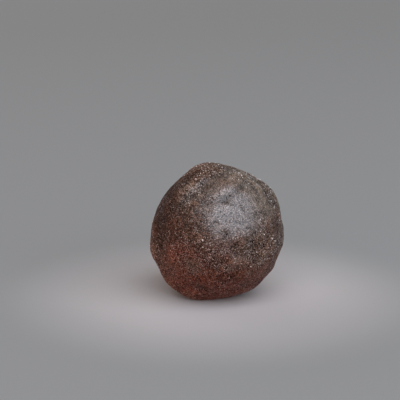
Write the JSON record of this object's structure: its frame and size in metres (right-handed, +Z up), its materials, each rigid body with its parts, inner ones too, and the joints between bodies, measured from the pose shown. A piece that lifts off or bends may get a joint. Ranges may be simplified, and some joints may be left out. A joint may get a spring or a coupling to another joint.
{
  "type": "moqui marble",
  "caption": "Nearly round, lumpy stone ball of iron-cemented sand with a small flat foot that it rests on; a loose stone to hold, place or display.",
  "frame": {"origin": "middle of the stone's box in plan, on the surface that the flat foot stands on", "axes": "+Z up out of the foot, -Y towards the viewed front, +X to the viewer's right"},
  "size_m": [0.0446, 0.0432, 0.0451],
  "materials": {
    "stone": "dark brown iron-cemented sand, worn to a dull satin polish, with pale quartz grains showing all over"
  },
  "bodies": {
    "root": {"stone": "stone"}
  },
  "joints": []
}
